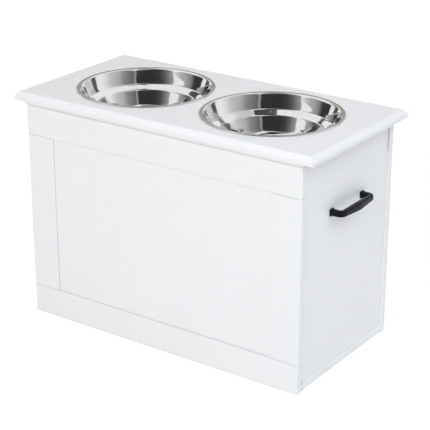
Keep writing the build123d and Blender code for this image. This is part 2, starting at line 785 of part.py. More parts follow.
def stay_pin(centre):
    """A headed pin through an eye, from the inside of the cabinet to the plate behind it."""
    pin_end = side_inner_face - stay_play
    head_face = stay_x - stay_eye_thickness / 2 - stay_play
    with BuildPart() as pin:
        with BuildSketch(Plane.YZ.offset(head_face)):
            with Locations((centre.Y, centre.Z)):
                Circle(stay_pin_radius)
        extrude(amount=pin_end - head_face)
        with BuildSketch(Plane.YZ.offset(head_face)):
            with Locations((centre.Y, centre.Z)):
                Circle(stay_pin_head_radius)
        extrude(amount=-stay_pin_head_height)
    return pin.part


def bored_boss(centre, outer_face):
    """A boss between a plate and an eye, up to a running gap from the eye."""
    eye_face = stay_x + stay_eye_thickness / 2 + stay_play
    with BuildPart() as boss:
        with BuildSketch(Plane.YZ.offset(eye_face)):
            with Locations((centre.Y, centre.Z)):
                Circle(stay_boss_radius)
        extrude(amount=outer_face - eye_face)
    return boss.part


side_plate_width = 2 * stay_boss_radius + stay_plate_thickness

with BuildPart() as stay_side_plate:
    with BuildSketch(Plane.YZ.offset(side_inner_face - stay_plate_thickness)):
        with Locations((stay_side_pin_y, stay_side_pin_z)):
            RectangleRounded(side_plate_width, stay_plate_length, stay_plate_thickness)
    extrude(amount=stay_plate_thickness)
    add(bored_boss(stay_side_pin, side_inner_face - stay_plate_thickness))
    with BuildSketch(Plane.YZ.offset(stay_x)):
        with Locations((stay_side_pin_y, stay_side_pin_z)):
            Circle(stay_pin_radius + stay_pin_play)
    extrude(amount=side_inner_face - stay_x, mode=Mode.SUBTRACT)
    with Locations(*stay_side_screw_planes):
        add(small_screw(screw_play), mode=Mode.SUBTRACT)
write_pair(stay_side_plate.part, "stay_side_plate")

ear_outer_face = side_inner_face - stay_plate_thickness
ear_inner_face = ear_outer_face - stay_plate_thickness
flange_inner_edge = stay_lid_screw_x - small_screw_head_radius - stay_plate_thickness
flange_width = ear_outer_face - flange_inner_edge

with BuildPart() as stay_lid_plate:
    with BuildSketch(Plane.XY.offset(lid_underside - stay_plate_thickness)):
        with Locations((ear_outer_face, stay_lid_pin_y)):
            Rectangle(flange_width, stay_plate_length, align=(Align.MAX, Align.CENTER))
    extrude(amount=stay_plate_thickness)
    with BuildSketch(Plane.YZ.offset(ear_inner_face)):
        with Locations((stay_lid_pin_y, lid_underside)):
            Rectangle(2 * stay_eye_radius, stay_lid_pin_drop, align=(Align.CENTER, Align.MAX))
        with Locations((stay_lid_pin_y, stay_lid_pin_z)):
            Circle(stay_eye_radius)
    extrude(amount=stay_plate_thickness)
    add(bored_boss(stay_lid_pin, ear_inner_face))
    with BuildSketch(Plane.YZ.offset(stay_x)):
        with Locations((stay_lid_pin_y, stay_lid_pin_z)):
            Circle(stay_pin_radius + stay_pin_play)
    extrude(amount=side_inner_face - stay_x, mode=Mode.SUBTRACT)
    with Locations(*stay_lid_screw_planes):
        add(stay_screw(screw_play), mode=Mode.SUBTRACT)
write_pair(stay_lid_plate.part, "stay_lid_plate")

write_pair(stay_pin(stay_side_pin), "stay_side_pin")
write_pair(stay_pin(stay_lid_pin), "stay_lid_pin")
write(placed(small_screw(), both_sides(stay_side_screw_planes)), "stay_side_screws")
write(placed(stay_screw(), both_sides(stay_lid_screw_planes)), "stay_lid_screws")
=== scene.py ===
# %% [markdown]
# # Elevated feeder with storage
#
# A painted cabinet stands on the floor. Its lid is hinged along the back and carries two steel
# bowls, and a cast handle sits on each side. The CAD model already has every board, hinge, stay,
# screw and dowel in its right place, so this lesson is about finishes and light: it keeps the
# CAD pieces, makes the bowls and handles again as smooth surfaces, and gives each material the
# small irregularities that make it look real.
#
# The first step loads that model as a fixed frame.
# Blender counts in metres, so sizes in millimetres are written as a number times MM.

import math

import bpy
import numpy as np
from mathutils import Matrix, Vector


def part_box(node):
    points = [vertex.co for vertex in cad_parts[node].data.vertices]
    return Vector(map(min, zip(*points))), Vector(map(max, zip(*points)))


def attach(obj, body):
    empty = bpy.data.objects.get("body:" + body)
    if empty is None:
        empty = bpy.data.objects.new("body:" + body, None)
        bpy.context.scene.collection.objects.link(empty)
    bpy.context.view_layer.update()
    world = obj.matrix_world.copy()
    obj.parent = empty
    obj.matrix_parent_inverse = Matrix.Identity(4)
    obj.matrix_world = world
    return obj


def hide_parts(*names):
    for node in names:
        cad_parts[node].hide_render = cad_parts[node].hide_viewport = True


MM = 0.001
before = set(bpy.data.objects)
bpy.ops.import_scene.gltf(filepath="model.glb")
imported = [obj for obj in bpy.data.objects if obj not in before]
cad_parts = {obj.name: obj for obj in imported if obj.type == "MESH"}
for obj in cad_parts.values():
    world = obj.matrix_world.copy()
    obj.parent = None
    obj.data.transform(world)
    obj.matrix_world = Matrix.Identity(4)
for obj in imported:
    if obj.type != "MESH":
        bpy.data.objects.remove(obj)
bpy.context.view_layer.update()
print("pieces in the frame:", len(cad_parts))

# %% [markdown]
# ## The room
#
# A product like this is pictured in a white room. The world gives two things here. Rays that
# come straight from the camera, from a mirror or through glass see plain white, at strength 1.
# All other rays see a softer and slightly cool white, which works as the light of the room.
# Two separate values mean that the backdrop can be white without burning out the paint.

# %% White world
ROOM_LIGHT = 0.46
ROOM_TINT = (0.97, 0.98, 1.0, 1.0)


def add_node(tree, kind, place=(0, 0), **inputs):
    """A shader node of that kind, with its named inputs set."""
    made = tree.nodes.new(kind)
    made.location = place
    for label, value in inputs.items():
        made.inputs[label.replace("_", " ")].default_value = value
    return made


def maths(tree, operation, first, second=None):
    """A Math node. Each operand is a number or a socket, and some operations need only one."""
    made = tree.nodes.new("ShaderNodeMath")
    made.operation = operation
    for socket, value in zip(made.inputs, (first, second)):
        if value is None:
            continue
        if isinstance(value, (int, float)):
            socket.default_value = value
        else:
            tree.links.new(value, socket)
    return made.outputs[0]


def seen_directly(tree):
    """1 for camera, glossy and transmission rays, and 0 for the rest."""
    path = tree.nodes.new("ShaderNodeLightPath")
    either = maths(tree, "MAXIMUM", path.outputs["Is Camera Ray"], path.outputs["Is Glossy Ray"])
    return maths(tree, "MAXIMUM", either, path.outputs["Is Transmission Ray"])


world = bpy.data.worlds.new("white_room")
world.use_nodes = True
bpy.context.scene.world = world
sky = world.node_tree
sky.nodes.clear()
room_light = add_node(sky, "ShaderNodeBackground", Color=ROOM_TINT, Strength=ROOM_LIGHT)
white_backdrop = add_node(sky, "ShaderNodeBackground", Color=(1, 1, 1, 1), Strength=1.0)
choose = sky.nodes.new("ShaderNodeMixShader")
sky.links.new(seen_directly(sky), choose.inputs[0])
sky.links.new(room_light.outputs[0], choose.inputs[1])
sky.links.new(white_backdrop.outputs[0], choose.inputs[2])
sky.links.new(choose.outputs[0], add_node(sky, "ShaderNodeOutputWorld").inputs[0])
bpy.context.scene.view_settings.view_transform = "Standard"
print("room light", ROOM_LIGHT)

# %% [markdown]
# ## Surfaces from numbers
#
# Every new surface in this lesson is a grid: one parameter runs along a path, the other runs
# round a section. NumPy works out all points at once, and the same helper then turns any grid
# into a mesh. Filling the arrays of a mesh with foreach_set is far quicker than adding faces one
# by one, and the faces come out in a tidy order that a UV map can follow.

# %% Grid to mesh
def grid_mesh(name, points, close_around=True, cap_ends=False):
    """A mesh from a grid of points with the shape (along, around, 3).

    Face (i, j) joins points (i, j), (i, j+1), (i+1, j+1) and (i+1, j), and the last column joins
    the first where the grid closes. A cap is one face with the first or last row as its outline.
    """
    along, around = points.shape[:2]
    index = np.arange(along * around).reshape(along, around)
    nxt = np.roll(index, -1, axis=1) if close_around else index[:, 1:]
    here = index if close_around else index[:, :-1]
    quads = np.stack([here[:-1], nxt[:-1], nxt[1:], here[1:]], axis=-1).reshape(-1, 4)
    loops = [quads.ravel()]
    sizes = [np.full(len(quads), 4)]
    if cap_ends:
        loops += [index[0][::-1], index[-1]]
        sizes += [np.array([around]), np.array([around])]
    loops, sizes = np.concatenate(loops), np.concatenate(sizes)
    mesh = bpy.data.meshes.new(name)
    mesh.vertices.add(along * around)
    mesh.vertices.foreach_set("co", points.reshape(-1).astype(np.float32))
    mesh.loops.add(len(loops))
    mesh.loops.foreach_set("vertex_index", loops.astype(np.int32))
    mesh.polygons.add(len(sizes))
    mesh.polygons.foreach_set("loop_start", (np.cumsum(sizes) - sizes).astype(np.int32))
    mesh.polygons.foreach_set("use_smooth", np.ones(len(sizes), bool))
    mesh.update(calc_edges=True)
    mesh.validate()
    piece = bpy.data.objects.new(name, mesh)
    bpy.context.scene.collection.objects.link(piece)
    return piece


print("helper ready: grid_mesh")

# %% [markdown]
# The profile of a bowl and the bow of a handle are both straight runs joined by arcs. So one more
# helper takes the corners with their radii and gives points close together, in a plane or in
# space. A Bevel modifier rounds corners too, but with points worked out here the sections that
# are carried along later stay evenly spaced.

# %% Rounded path
def rounded_path(corners, radii, step):
    """Points along straight runs joined by arcs that touch both runs.

    At a corner the arc of radius r starts r * tan(turn / 2) before it. Each arc is swept in equal
    angles, each run is divided in equal lengths, and neither is coarser than the step.
    """
    corners = np.asarray(corners, float)
    ahead = np.diff(corners, axis=0)
    ahead /= np.linalg.norm(ahead, axis=1)[:, None]
    runs, last = [], corners[0]
    for corner, before, after, radius in zip(corners[1:-1], ahead[:-1], ahead[1:], radii):
        turn = math.acos(max(-1.0, min(1.0, float(before @ after))))
        setback = radius * math.tan(turn / 2)
        start, inward = corner - before * setback, after - before * math.cos(turn)
        inward /= np.linalg.norm(inward)
        count = max(2, int(math.ceil(np.linalg.norm(start - last) / step)) + 1)
        runs.append(last + np.linspace(0, 1, count)[:-1, None] * (start - last))
        sweep = np.linspace(0, turn, max(5, int(math.ceil(radius * turn / step)) + 1))[:, None]
        runs.append(start + radius * (np.sin(sweep) * before + (1 - np.cos(sweep)) * inward))
        last = runs[-1][-1]
        runs[-1] = runs[-1][:-1]
    count = max(2, int(math.ceil(np.linalg.norm(corners[-1] - last) / step)) + 1)
    runs.append(last + np.linspace(0, 1, count)[:, None] * (corners[-1] - last))
    return np.concatenate(runs)


print("helper ready: rounded_path")

# %% [markdown]
# ## The bowls
#
# A steel bowl like this is pressed and spun from one round blank, so it is a surface of
# revolution: a profile turned about its axis. A Screw modifier could do that to a drawn curve.
# Here the profile is a polyline with rounded corners, drawn twice, once for the inside and once
# offset by the thickness of the metal for the outside, and both are closed into one loop that is
# turned by 256 steps. Polished steel shows every facet, so the steps are close together.

# %% Offset and turn a profile
def offset_profile(profile, distance):
    """Each point moved to the right of its path by the distance, along the mean of both normals."""
    ahead = np.gradient(profile, axis=0)
    ahead /= np.linalg.norm(ahead, axis=1)[:, None]
    return profile + distance * np.stack([ahead[:, 1], -ahead[:, 0]], axis=1)


def turned(name, profile, centre_x, steps):
    """A profile of (radius, height) turned about a vertical axis at x = centre_x.

    A point is (centre_x + r cos a, r sin a, z) for each angle a. The two points on the axis become
    very small rings, which are closed with a face.
    """
    angle = np.linspace(0, 2 * np.pi, steps, endpoint=False)
    radius, height = profile[:, :1], profile[:, 1:]
    around = np.stack(
        [centre_x + radius * np.cos(angle), radius * np.sin(angle), height + 0 * angle], axis=-1
    )
    return grid_mesh(name, around, cap_ends=True)


print("helpers ready: offset_profile, turned")

# %% [markdown]
# The profile is written as pairs of radius and height, with the height counted from the rim: the
# flat bottom, the lower wall, the ledge, the upper wall and the rim with its turned-down edge.
# Each point but the first and the last is a corner and has a radius of its own. Each new bowl
# then says which body it rides on and which CAD piece it replaces; its finish is given further on.

# %% Turn the bowls
BOWL_X = 130 * MM
RIM_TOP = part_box("left_bowl")[1].z
BOWL_WALL = 1 * MM
BOWL_PROFILE = MM * np.array(
    [(0, -66), (77, -66), (83, -50), (90, -34), (101, -26), (106.6, -13), (114, 0), (120, 0), (120, -2)]
)
BOWL_CORNERS = MM * np.array([17, 120, 5, 5, 100, 5, 1.2])
PROFILE_STEP = 2.2 * MM
AXIS_RING = 0.05 * MM
BOWL_STEPS = 256
inside = rounded_path(BOWL_PROFILE + (0, RIM_TOP), BOWL_CORNERS, PROFILE_STEP)
outside = offset_profile(inside, BOWL_WALL)
inside[0, 0] = outside[0, 0] = AXIS_RING
bowl_section = np.concatenate([outside, inside[::-1]])
bowls = {}
for side, centre in (("left", -BOWL_X), ("right", BOWL_X)):
    bowl = turned(f"{side}_steel_bowl", bowl_section, centre, BOWL_STEPS)
    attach(bowl, f"bowl_{side}")
    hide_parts(f"{side}_bowl")
    bowls[side] = bowl
print("bowl section points:", len(bowl_section), "faces:", len(bowls["left"].data.polygons))

# %% [markdown]
# ## The handles
#
# Each handle is a cast bow. Its section is a rectangle with rounded corners that narrows from
# the foot to the elbow, then swells to the middle of the grip and back. A section carried along
# a path says this directly. Two helpers do it: the first lays out all sections in their own
# plane, and the second sets them upright along the path.

# %% Sections along a path
def rounded_rectangles(width, depth, corner, per_corner=7):
    """Sections with the shape (n, 4 * per_corner, 2), one for each width and depth.

    A corner point is the centre of its arc, at half the side less the radius, plus the radius
    times (cos a, sin a), with a in the corner's own quarter turn.
    """
    quarter = np.linspace(0, np.pi / 2, per_corner)
    angle = (np.arange(4)[:, None] * np.pi / 2 + quarter).ravel()
    sign = np.repeat([(1, 1), (-1, 1), (-1, -1), (1, -1)], per_corner, axis=0)
    half = np.stack([width, depth], axis=-1)[:, None, :] / 2
    corner = np.broadcast_to(corner, len(half))[:, None, None]
    return sign * (half - corner) + corner * np.stack([np.cos(angle), np.sin(angle)], axis=-1)


def swept(name, path, sections, up, mirror):
    """Sections carried along a path: each is set out from its point along up and the side.

    The side is the cross product of up and the path's direction, so a section stays square to
    its path. A mirrored copy has x negated, and the order round it is reversed with it.
    """
    ahead = np.gradient(path, axis=0)
    ahead /= np.linalg.norm(ahead, axis=1)[:, None]
    side = np.cross(up, ahead)
    grid = path[:, None, :] + sections[..., :1] * up + sections[..., 1:] * side[:, None, :]
    if mirror:
        grid = (grid * (-1, 1, 1))[:, ::-1]
    return grid_mesh(name, grid, cap_ends=True)


print("helpers ready: rounded_rectangles, swept")

# %% [markdown]
# The path of the bow has five points: two feet, two elbows and the middle of the grip. All widths
# are formulas of the distance from the nearer end. The post narrows evenly up to the elbow, the
# grip swells by a squared sine from there to its middle, and each foot ends in a thin square
# plate with a hollow flare above it.

# %% Cast the handles
FOOT, POST = 12.4 * MM, 10.6 * MM
ELBOW_WIDE, ELBOW_DEEP = 10.2 * MM, 9 * MM
GRIP_WIDE, GRIP_DEEP = 13 * MM, 10 * MM
HANDLE_REACH, ELBOW_SETBACK = 27 * MM, 2.5 * MM
ELBOW_RADIUS, GRIP_RADIUS = 7 * MM, 96 * MM
PLATE, FLARE = 1.2 * MM, 2.5 * MM
CORNER = 2.6 * MM
BOW_STEP = 0.8 * MM
handle_low, handle_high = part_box("right_handle")
HANDLE_Z = (handle_low.z + handle_high.z) / 2
HANDLE_FACE = handle_low.x
HANDLE_HALF = (handle_high.y - handle_low.y - FOOT) / 2
GRIP_X = HANDLE_FACE + HANDLE_REACH - GRIP_DEEP / 2
ELBOW_X = GRIP_X - ELBOW_SETBACK
bow_corners = [
    (HANDLE_FACE, -HANDLE_HALF, HANDLE_Z),
    (ELBOW_X, -HANDLE_HALF, HANDLE_Z),
    (GRIP_X, 0, HANDLE_Z),
    (ELBOW_X, HANDLE_HALF, HANDLE_Z),
    (HANDLE_FACE, HANDLE_HALF, HANDLE_Z),
]
bow = rounded_path(bow_corners, [ELBOW_RADIUS, GRIP_RADIUS, ELBOW_RADIUS], BOW_STEP)
walked = np.concatenate([[0], np.cumsum(np.linalg.norm(np.diff(bow, axis=0), axis=1))])
from_end = np.minimum(walked, walked[-1] - walked)
post = ELBOW_X - HANDLE_FACE
along_post = np.clip(from_end / post, 0, 1)
swell = np.sin(np.pi / 2 * np.clip((from_end - post) / (walked[-1] / 2 - post), 0, 1)) ** 2
flare = np.clip(1 - (from_end - PLATE) / FLARE, 0, 1) ** 2
at_foot = POST * (1 - along_post) + (FOOT - POST) * flare
bow_wide = at_foot + ELBOW_WIDE * along_post + (GRIP_WIDE - ELBOW_WIDE) * swell
bow_deep = at_foot + ELBOW_DEEP * along_post + (GRIP_DEEP - ELBOW_DEEP) * swell
bow_wide, bow_deep = (np.where(from_end <= PLATE, FOOT, size) for size in (bow_wide, bow_deep))
bow_corner = np.where(from_end <= PLATE, CORNER / 2, CORNER)
bow_sections = rounded_rectangles(bow_wide, bow_deep, bow_corner)
upright = np.array([0, 0, 1.0])
handles = {}
for side in ("left", "right"):
    handle = swept(f"{side}_cast_handle", bow, bow_sections, upright, mirror=side == "left")
    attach(handle, "cabinet")
    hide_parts(f"{side}_handle")
    handles[side] = handle
print("handle length along its middle:", round(float(walked[-1]), 4))

# %% [markdown]
# ## How a finish is built
#
# Each finish is a small graph of nodes on one Principled shader. Values that are the same all
# over are set on the shader itself. What varies comes from noise that is read in Object
# coordinates, so its scale is in features per metre and it stays put when a piece moves. A few
# short helpers make the graphs below easy to read: noise adds a pattern, spread turns it into
# another range, blend_colours mixes two colours by it, and relief raises it as a bump.

# %% Finish helpers
def new_finish(name, **uniform):
    """A material with one Principled shader, whose uniform values are set on its sockets."""
    material = bpy.data.materials.new(name)
    material.use_nodes = True
    tree = material.node_tree
    tree.nodes.clear()
    shader = add_node(tree, "ShaderNodeBsdfPrincipled", (300, 0), **uniform)
    out = add_node(tree, "ShaderNodeOutputMaterial", (600, 0))
    tree.links.new(shader.outputs[0], out.inputs[0])
    return material, tree, shader


def object_place(tree, scale=(1, 1, 1)):
    """Object coordinates, stretched by a scale for each axis."""
    place = tree.nodes.new("ShaderNodeTexCoord")
    mapping = tree.nodes.new("ShaderNodeMapping")
    mapping.inputs["Scale"].default_value = scale
    tree.links.new(place.outputs["Object"], mapping.inputs["Vector"])
    return mapping.outputs[0]


def noise(tree, place, scale, detail=3.0, roughness=0.5):
    """Noise from 0 to 1, with that many features per metre."""
    made = tree.nodes.new("ShaderNodeTexNoise")
    made.inputs["Scale"].default_value = scale
    made.inputs["Detail"].default_value = detail
    made.inputs["Roughness"].default_value = roughness
    tree.links.new(place, made.inputs["Vector"])
    return made.outputs["Fac"]


def spread(tree, value, low, high, start=0.3, end=0.7):
    """The value mapped from the range start..end to low..high, and held at its ends."""
    made = tree.nodes.new("ShaderNodeMapRange")
    for label, number in zip(("From Min", "From Max", "To Min", "To Max"), (start, end, low, high)):
        made.inputs[label].default_value = number
    tree.links.new(value, made.inputs["Value"])
    return made.outputs[0]


def blend_colours(tree, share, first, second):
    """A colour between two others. Each is four numbers or a socket.

    A Mix node has sockets for every type of data, and those of its colours are numbers 6 and 7.
    """
    made = tree.nodes.new("ShaderNodeMix")
    made.data_type = "RGBA"
    tree.links.new(share, made.inputs["Factor"])
    for socket, colour in zip(made.inputs[6:8], (first, second)):
        if isinstance(colour, tuple):
            socket.default_value = colour
        else:
            tree.links.new(colour, socket)
    return made.outputs[2]


def relief(tree, height, depth, strength=1.0, below=None):
    """A bump whose full height is the depth in metres, laid over another normal if one is given."""
    made = tree.nodes.new("ShaderNodeBump")
    made.inputs["Distance"].default_value = depth
    made.inputs["Strength"].default_value = strength
    tree.links.new(height, made.inputs["Height"])
    if below is not None:
        tree.links.new(below, made.inputs["Normal"])
    return made.outputs[0]


print("finish helpers ready")

# %% [markdown]
# ## White paint on board
#
# The boards are fibreboard under a rolled and sprayed satin paint. Close up the film has a fine
# orange-peel texture, a broad waviness and small changes of gloss. The joints between boards
# collect shadow, and that shade is painted into the colour here: Ambient Occlusion with a very
# short reach finds those joints and darkens the colour there, so no lines have to be drawn by hand.
#
# The joints of the lid and of the front frame are open, and painted shade shows in them as thin grey
# lines. Those of the sides, the floor and the back get almost none of it and keep almost no line.
# Only behind the front frame, which stands a little proud of the sides, is there a soft painted
# shadow of that step, found with a longer reach. So there are two paints from one function. It takes
# the reach of the painted shade and two shares, one for the strip behind the front frame and one for
# the rest, and it tells them apart by the y coordinate.

# %% Satin white paint
FRAME_BACK_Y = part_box("front_top_rail")[1].y
# Reaches and shares of painted shade: in open joints, as a painted shadow behind the front frame, and
# faintly elsewhere.
JOINT_SHADE_REACH, STEP_SHADOW_REACH = 1.4 * MM, 8 * MM
OPEN_JOINT_SHADE, FRAME_STEP_SHADOW, FAINT_JOINT_SHADE = 0.8, 2.2, 0.05
FILM_LIGHT, FILM_DARK = (0.868, 0.872, 0.880, 1), (0.852, 0.857, 0.866, 1)
FILM_FLECK, FLECK_SHARE = (0.884, 0.886, 0.890, 1), 0.35
# The grey that the painted joint shade darkens the colour towards.
JOINT_SHADE_GREY = (0.42, 0.43, 0.45, 1)
HIDDEN_SKY, OPEN_SKY = 0.4, 0.95


def white_paint(name, reach, front_share, joint_share):
    """Satin white with painted shade: joints, sought within the reach, are darkened by a share.

    The painted shade at a point is its own occlusion, 0 in the open and 1 deep in a joint, times
    front_share in the strip behind the front frame and joint_share elsewhere.
    """
    material, tree, shader = new_finish(name)
    place = object_place(tree)
    cloud = spread(tree, noise(tree, place, 5.0, 4.0), 0.0, 1.0)
    film = blend_colours(tree, cloud, FILM_LIGHT, FILM_DARK)
    mottle = spread(tree, noise(tree, place, 260.0, 3.0), 0.0, 1.0)
    film = blend_colours(tree, maths(tree, "MULTIPLY", mottle, FLECK_SHARE), film, FILM_FLECK)
    # Painted shade: where ambient occlusion finds a joint or a step, the colour is darkened towards that
    # grey.
    joint = add_node(tree, "ShaderNodeAmbientOcclusion", Distance=reach)
    joint.samples = 8
    in_joint = spread(tree, joint.outputs["AO"], 1.0, 0.0, HIDDEN_SKY, OPEN_SKY)
    split = tree.nodes.new("ShaderNodeSeparateXYZ")
    tree.links.new(place, split.inputs[0])
    # The strip of painted shadow beside the step of the front frame ends this far behind it.
    strip_end = FRAME_BACK_Y + STEP_SHADOW_REACH
    share = spread(tree, split.outputs["Y"], front_share, joint_share, strip_end, strip_end + MM)
    film = blend_colours(tree, maths(tree, "MULTIPLY", in_joint, share), film, JOINT_SHADE_GREY)
    tree.links.new(film, shader.inputs["Base Color"])
    gloss = spread(tree, noise(tree, place, 38.0, 5.0, 0.6), 0.36, 0.50)
    tree.links.new(gloss, shader.inputs["Roughness"])
    wave = relief(tree, noise(tree, place, 28.0, 2.0), 0.25 * MM)
    peel = relief(tree, noise(tree, place, 850.0, 2.0), 0.03 * MM, below=wave)
    tree.links.new(peel, shader.inputs["Normal"])
    return material


# Two paints: one with painted shade in open joints, one with almost none but a painted shadow behind the
# front frame.
paint = white_paint("satin_white_paint", JOINT_SHADE_REACH, OPEN_JOINT_SHADE, OPEN_JOINT_SHADE)
paint_faint_shade = white_paint("satin_white_paint_faint_joint_shade", STEP_SHADOW_REACH, FRAME_STEP_SHADOW, FAINT_JOINT_SHADE)
print("paint nodes:", len(paint.node_tree.nodes))

# %% [markdown]
# ## Polished steel
#
# The bowls are spun stainless steel, polished to a mirror. What tells it from chrome is a trace
# of the spinning: very fine rings round the axis, and faint cloudy patches where the polish is
# less even. The rings need the distance from the bowl's own axis. The bowls are mirror images
# across x = 0, so the absolute value of x, less the distance of the axis, serves them both. The
# noise is read at distance, height and a little of the angle, so a ring slowly changes on its
# way round.

# %% Polished steel
STEEL_LIGHT, STEEL_DARK = (0.79, 0.79, 0.80, 1), (0.755, 0.752, 0.755, 1)
RINGS_PER_METRE, RING_DRIFT = 1400.0, 1.2 * MM
steel, tree, shader = new_finish("polished_steel", Metallic=1.0)
place = tree.nodes.new("ShaderNodeTexCoord").outputs["Object"]
split = tree.nodes.new("ShaderNodeSeparateXYZ")
tree.links.new(place, split.inputs[0])
across = maths(tree, "SUBTRACT", maths(tree, "ABSOLUTE", split.outputs["X"]), BOWL_X)
squares = [maths(tree, "POWER", value, 2.0) for value in (across, split.outputs["Y"])]
from_axis = maths(tree, "SQRT", maths(tree, "ADD", *squares))
turn = maths(tree, "ARCTAN2", split.outputs["Y"], across)
polar = tree.nodes.new("ShaderNodeCombineXYZ")
tree.links.new(from_axis, polar.inputs["X"])
tree.links.new(split.outputs["Z"], polar.inputs["Y"])
tree.links.new(maths(tree, "MULTIPLY", turn, RING_DRIFT), polar.inputs["Z"])
rings = noise(tree, polar.outputs[0], RINGS_PER_METRE, 4.0, 0.6)
patches = noise(tree, place, 30.0, 4.0, 0.6)
colour = blend_colours(tree, spread(tree, patches, 0.0, 1.0), STEEL_LIGHT, STEEL_DARK)
tree.links.new(colour, shader.inputs["Base Color"])
ring_gloss = spread(tree, rings, 0.0, 0.035)
patch_gloss = spread(tree, patches, 0.045, 0.085)
tree.links.new(maths(tree, "ADD", ring_gloss, patch_gloss), shader.inputs["Roughness"])
tree.links.new(relief(tree, rings, 0.002 * MM, 0.6), shader.inputs["Normal"])
print("steel nodes:", len(tree.nodes))

# %% [markdown]
# ## Black casting
#
# The handles are die castings under a thin satin black coat, with a fine grain that breaks up
# their highlight. In a white room a black coat mirrors white from all sides and turns grey, so
# the low index of refraction keeps its reflections weak.

# %% Satin black casting
BLACK_DEEP, BLACK_SOFT = (0.004, 0.0045, 0.007, 1), (0.008, 0.009, 0.013, 1)
casting, tree, shader = new_finish("satin_black_casting", IOR=1.22)
place = object_place(tree)
cloud = spread(tree, noise(tree, place, 90.0, 4.0), 0.0, 1.0)
tree.links.new(blend_colours(tree, cloud, BLACK_DEEP, BLACK_SOFT), shader.inputs["Base Color"])
tree.links.new(spread(tree, noise(tree, place, 420.0, 4.0), 0.20, 0.32), shader.inputs["Roughness"])
tree.links.new(relief(tree, noise(tree, place, 1500.0, 3.0), 0.03 * MM), shader.inputs["Normal"])
print("casting nodes:", len(tree.nodes))

# %% [markdown]
# ## Bright hardware and tubes
#
# Hinges, screws, pins and rods are plated steel with drawn lines along them, and the stay tubes
# are coated black. They show only when the lid is open, but each still gets its own finish. The
# lines come from noise whose coordinates are shrunk along one axis, which draws its features out
# along that axis.

# %% Drawn steel and coated tube
def drawn_metal(name, colours, stretch, roughness, metallic):
    """Metal or coat with fine lines: noise that is stretched along the piece."""
    material, tree, shader = new_finish(name, Metallic=metallic)
    lines = noise(tree, object_place(tree, stretch), 3200.0, 3.0, 0.6)
    patches = noise(tree, object_place(tree), 60.0, 3.0)
    colour = blend_colours(tree, spread(tree, patches, 0.0, 1.0), *colours)
    tree.links.new(colour, shader.inputs["Base Color"])
    tree.links.new(spread(tree, lines, *roughness), shader.inputs["Roughness"])
    tree.links.new(relief(tree, lines, 0.003 * MM), shader.inputs["Normal"])
    return material


ZINC = (0.62, 0.63, 0.64, 1), (0.58, 0.59, 0.61, 1)
TUBE_BLACK = (0.016, 0.016, 0.018, 1), (0.028, 0.028, 0.030, 1)
plated = drawn_metal("plated_steel", ZINC, (0.03, 1, 1), (0.24, 0.34), 1.0)
tube_coat = drawn_metal("black_tube_coat", TUBE_BLACK, (1, 0.1, 1), (0.26, 0.38), 0.0)
print("metal nodes:", len(plated.node_tree.nodes), len(tube_coat.node_tree.nodes))

# %% [markdown]
# ## Rubber and beech
#
# The bumpers are black rubber with a dull, slightly pitted skin. The dowels are turned beech. Its
# fibres are stretched noise too and have to run along each dowel, so the dowels that lie across
# and those that stand upright have a finish each.

# %% Bumper rubber and beech
RUBBER_DARK, RUBBER_LIGHT = (0.022, 0.022, 0.022, 1), (0.04, 0.04, 0.04, 1)
BEECH_PALE, BEECH_BROWN = (0.62, 0.42, 0.25, 1), (0.43, 0.27, 0.15, 1)
rubber, tree, shader = new_finish("bumper_rubber_black")
place = object_place(tree)
shade = spread(tree, noise(tree, place, 300.0), 0.0, 1.0)
colour = blend_colours(tree, shade, RUBBER_DARK, RUBBER_LIGHT)
tree.links.new(colour, shader.inputs["Base Color"])
tree.links.new(spread(tree, noise(tree, place, 700.0), 0.6, 0.8), shader.inputs["Roughness"])
tree.links.new(relief(tree, noise(tree, place, 1800.0), 0.04 * MM), shader.inputs["Normal"])


def beech(name, stretch):
    """Turned beech: pale brown fibres that run along the dowel."""
    material, tree, shader = new_finish(name)
    fibres = noise(tree, object_place(tree, stretch), 420.0, 5.0, 0.65)
    colour = blend_colours(tree, spread(tree, fibres, 0.0, 1.0), BEECH_PALE, BEECH_BROWN)
    tree.links.new(colour, shader.inputs["Base Color"])
    tree.links.new(spread(tree, fibres, 0.5, 0.68), shader.inputs["Roughness"])
    tree.links.new(relief(tree, fibres, 0.06 * MM), shader.inputs["Normal"])
    return material


dowels_across = beech("beech_across", (1, 0.08, 1))
dowels_upright = beech("beech_upright", (1, 1, 0.08))
print("finishes:", [m.name for m in (rubber, dowels_across, dowels_upright)])

# %% [markdown]
# ## Dress the frame
#
# Each CAD piece already carries a material slot with the name of its finish in the record. The plain
# material there is exchanged for the finished one. The boards of the sides, the floor and the back
# get the second paint, with almost no painted joint shade, and the dowels that stand upright get the
# beech whose fibres run upright.

# %% Assign the finishes
FINISH = {
    "white_painted_board": paint,
    "polished_stainless": steel,
    "black_handle": casting,
    "bright_steel": plated,
    "black_tube": tube_coat,
    "bumper_rubber": rubber,
    "dowel_wood": dowels_across,
}
FAINT_SHADE_BOARDS = ("back_", "left_side_panel", "right_side_panel", "bottom_board")
for name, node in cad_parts.items():
    for holder in node.material_slots:
        holder.material = FINISH[holder.material.name]
    # These boards get the paint with almost no painted joint shade, but with the painted shadow behind the
    # front frame.
    if name.startswith(FAINT_SHADE_BOARDS):
        node.material_slots[0].material = paint_faint_shade
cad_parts["rail_dowels"].material_slots[0].material = dowels_upright
for piece in bowls.values():
    piece.data.materials.append(steel)
for piece in handles.values():
    piece.data.materials.append(casting)
print("pieces per finish:", {m.name: m.users for m in FINISH.values()})

# %% [markdown]
# ## The floor
#
# The floor is one large plain sheet. It is white like the backdrop, yet it has to hold the soft
# shadow of the cabinet. So seen directly it glows in an even white, with a share of real, lit
# white on top that still darkens in the shadow. For all other rays it is a plain matt white that
# throws light back up on the object.

